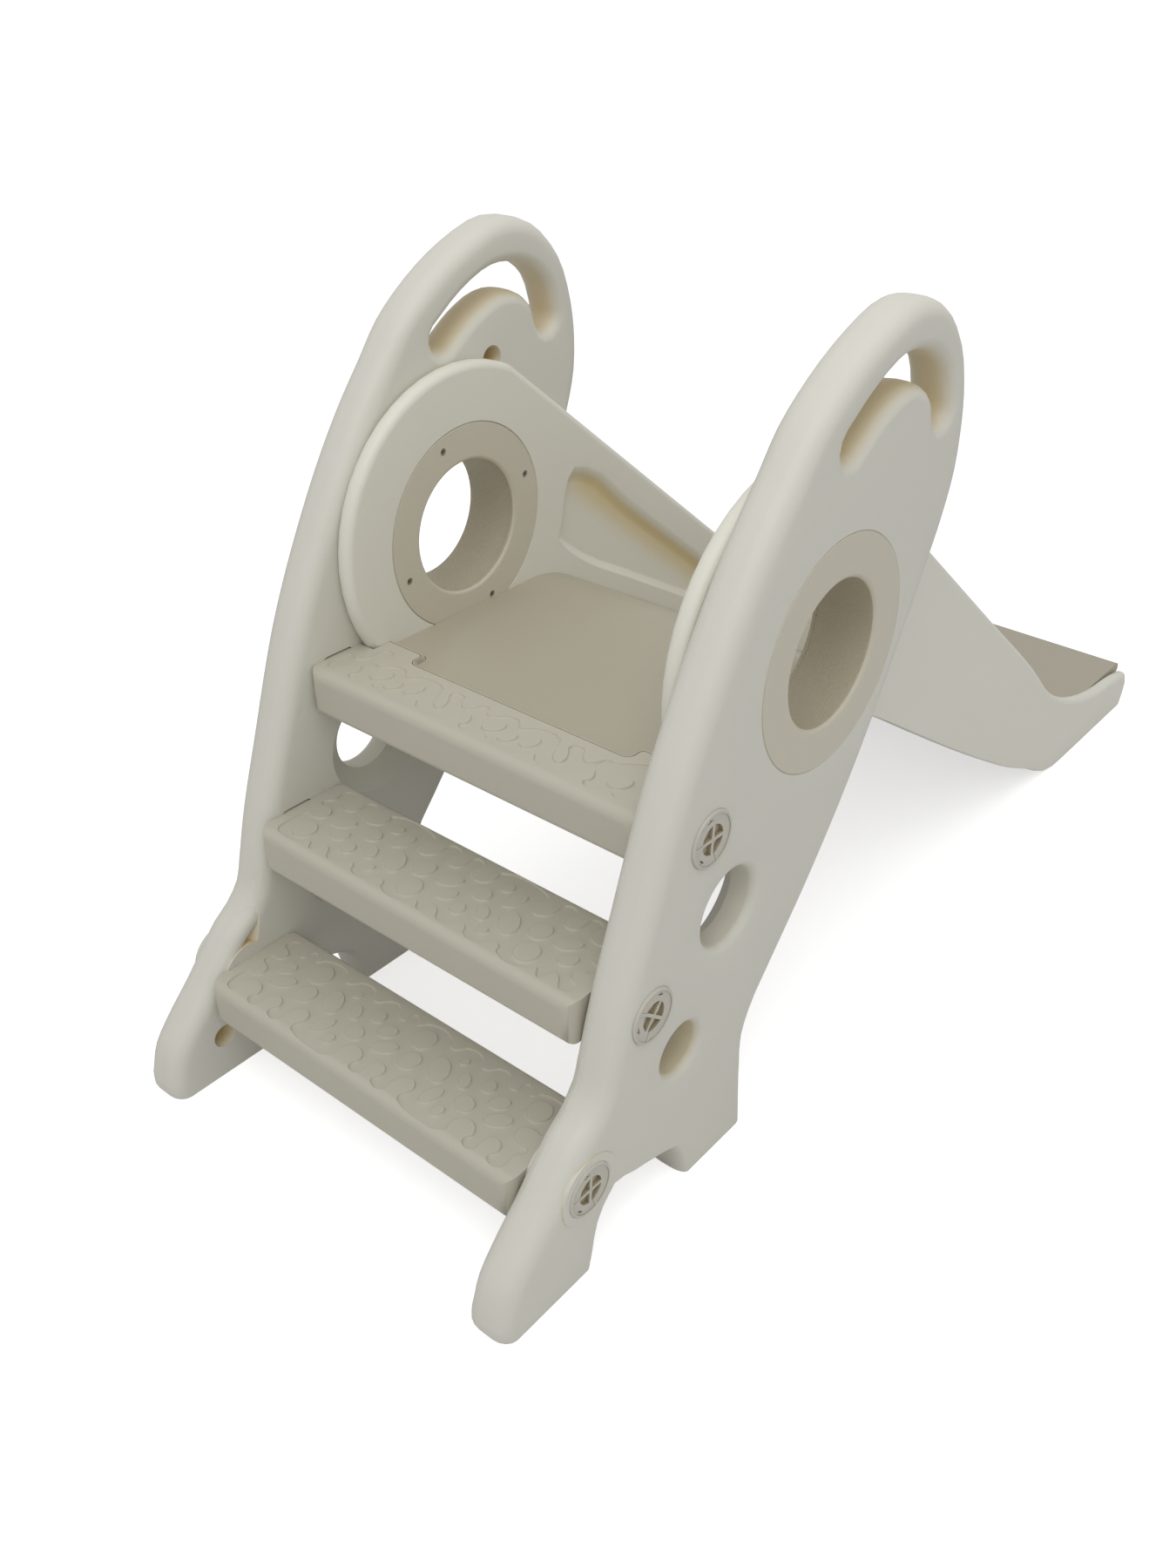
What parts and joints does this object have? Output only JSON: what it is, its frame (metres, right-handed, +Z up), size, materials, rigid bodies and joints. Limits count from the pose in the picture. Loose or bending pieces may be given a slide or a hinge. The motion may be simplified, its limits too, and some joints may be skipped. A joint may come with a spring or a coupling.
{
  "type": "kids slide",
  "caption": "Free-standing child's slide: a step ladder with moulded side panels and grab handles, and a chute that folds on round hubs.",
  "frame": {"origin": "on the floor, under the centre of the slide's overall length and width", "axes": "+X from the ladder down the slide, +Y to a climbing child's left, +Z up"},
  "size_m": [1.6662, 0.574, 0.891],
  "materials": {
    "cream": "fine moulded texture, satin",
    "greige": "fine moulded texture, satin",
    "screw_steel": "zinc plated"
  },
  "bodies": {
    "ladder": {"panel_left": "cream", "panel_right": "cream", "step_bottom": "greige", "step_middle": "greige", "step_top": "greige", "hub_outer_left": "greige", "hub_outer_right": "greige", "hub_inner_left": "greige", "hub_inner_right": "greige", "hub_screws_left": "screw_steel", "hub_screws_right": "screw_steel"},
    "chute": {"rail_left": "cream", "rail_right": "cream", "chute_bed": "greige", "bed_screws_left": "screw_steel", "bed_screws_right": "screw_steel"},
    "lock_left_bottom": {"lock_left_bottom": "greige"},
    "lock_left_middle": {"lock_left_middle": "greige"},
    "lock_left_top": {"lock_left_top": "greige"},
    "lock_right_bottom": {"lock_right_bottom": "greige"},
    "lock_right_middle": {"lock_right_middle": "greige"},
    "lock_right_top": {"lock_right_top": "greige"}
  },
  "joints": [
    {"name": "chute_fold", "type": "hinge", "parent": "ladder", "child": "chute", "pos_m": [-0.33388, 0, 0.57], "axis": [0, 1, 0], "range_deg": [0, 75]},
    {"name": "lock_left_bottom_turn", "type": "hinge", "parent": "ladder", "child": "lock_left_bottom", "pos_m": [-0.70388, 0.2575, 0.124], "axis": [0, 1, 0], "range_deg": [0, 90]},
    {"name": "lock_left_middle_turn", "type": "hinge", "parent": "ladder", "child": "lock_left_middle", "pos_m": [-0.61088, 0.2575, 0.2885], "axis": [0, 1, 0], "range_deg": [0, 90]},
    {"name": "lock_left_top_turn", "type": "hinge", "parent": "ladder", "child": "lock_left_top", "pos_m": [-0.52888, 0.2575, 0.453], "axis": [0, 1, 0], "range_deg": [0, 90]},
    {"name": "lock_right_bottom_turn", "type": "hinge", "parent": "ladder", "child": "lock_right_bottom", "pos_m": [-0.70388, -0.2575, 0.124], "axis": [0, 1, 0], "range_deg": [0, 90]},
    {"name": "lock_right_middle_turn", "type": "hinge", "parent": "ladder", "child": "lock_right_middle", "pos_m": [-0.61088, -0.2575, 0.2885], "axis": [0, 1, 0], "range_deg": [0, 90]},
    {"name": "lock_right_top_turn", "type": "hinge", "parent": "ladder", "child": "lock_right_top", "pos_m": [-0.52888, -0.2575, 0.453], "axis": [0, 1, 0], "range_deg": [0, 90]}
  ]
}
